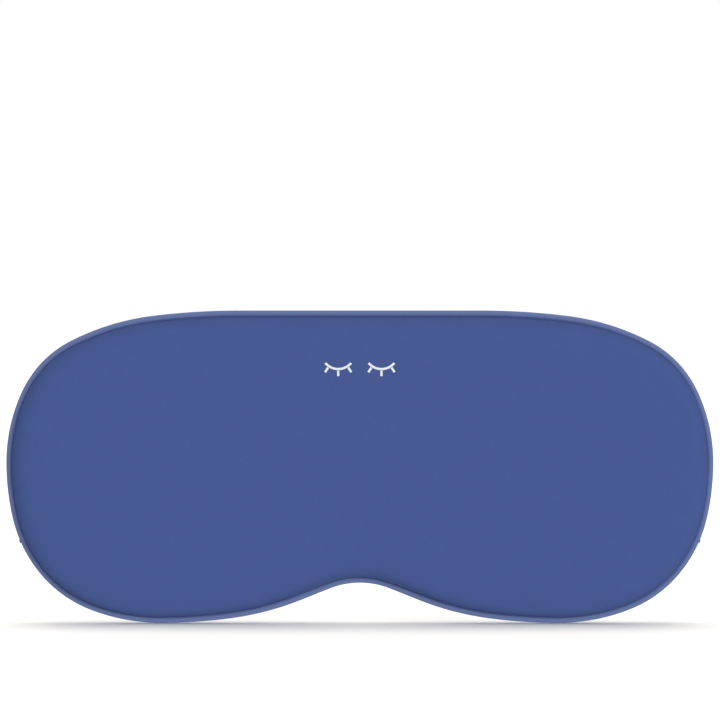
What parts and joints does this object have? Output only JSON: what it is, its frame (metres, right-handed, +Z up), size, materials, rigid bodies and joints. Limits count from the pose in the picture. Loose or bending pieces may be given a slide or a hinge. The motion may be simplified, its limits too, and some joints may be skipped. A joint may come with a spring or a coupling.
{
  "type": "eye pillow",
  "caption": "Padded eye pillow with a nose notch, piped rim, beaded inner pouch and two wide elastic strap halves that fold flat behind it and close with hook and loop.",
  "frame": {"origin": "middle of the pad's back, where it meets the face, at mid height of the pad", "axes": "+X across the face (to the right seen from the front), +Z up, -Y out of the decorated front, +Y out of the back towards the face"},
  "size_m": [0.22, 0.0193, 0.0972],
  "materials": {
    "cover_cloth": "matte smooth brushed microfibre",
    "piping_cloth": "soft satin",
    "filler_cord": "twisted cotton",
    "wadding": "fibre fill",
    "blackout_cloth": "matte",
    "pouch_cloth": "plain cotton weave",
    "glass_beads": "fine beads, as one mass for each channel",
    "elastic": "ribbed knitted elastic",
    "hook_tape": "moulded nylon hooks",
    "loop_tape": "brushed nylon loops",
    "white_print": "matte screen print",
    "label_satin": "satin"
  },
  "bodies": {
    "pad": {"back_panel": "cover_cloth", "back_wadding": "wadding", "bead_fill_1": "glass_beads", "bead_fill_2": "glass_beads", "bead_fill_3": "glass_beads", "bead_fill_4": "glass_beads", "bead_fill_5": "glass_beads", "bead_fill_6": "glass_beads", "bead_fill_7": "glass_beads", "bead_fill_8": "glass_beads", "blackout_layer": "blackout_cloth", "care_label": "label_satin", "front_motif": "white_print", "front_panel": "cover_cloth", "front_wadding": "wadding", "left_strap_tab": "elastic", "piping_cord": "filler_cord", "piping_cover": "piping_cloth", "pouch_back_sheet": "pouch_cloth", "pouch_front_sheet": "pouch_cloth", "right_strap_tab": "elastic"},
    "left_near": {"left_strap_near": "elastic"},
    "left_far": {"left_strap_far": "elastic", "loop_patch": "loop_tape"},
    "right_near": {"right_strap_near": "elastic"},
    "right_far": {"right_strap_far": "elastic", "hook_patch": "hook_tape"}
  },
  "joints": [
    {"name": "left_side_fold", "type": "hinge", "parent": "pad", "child": "left_near", "pos_m": [-0.1042, 0.002, 0], "axis": [0, 0, 1], "range_deg": [0, 178]},
    {"name": "left_middle_fold", "type": "hinge", "parent": "left_near", "child": "left_far", "pos_m": [-0.008, 0.00435, 0], "axis": [0, 0, -1], "range_deg": [0, 178]},
    {"name": "right_side_fold", "type": "hinge", "parent": "pad", "child": "right_near", "pos_m": [0.1042, 0.002, 0], "axis": [0, 0, -1], "range_deg": [0, 178]},
    {"name": "right_middle_fold", "type": "hinge", "parent": "right_near", "child": "right_far", "pos_m": [0.008, 0.00435, 0], "axis": [0, 0, 1], "range_deg": [0, 178]}
  ],
  "couplings": [
    {"joint": "left_middle_fold", "follows": "left_side_fold", "ratio": 1},
    {"joint": "right_middle_fold", "follows": "right_side_fold", "ratio": 1}
  ]
}
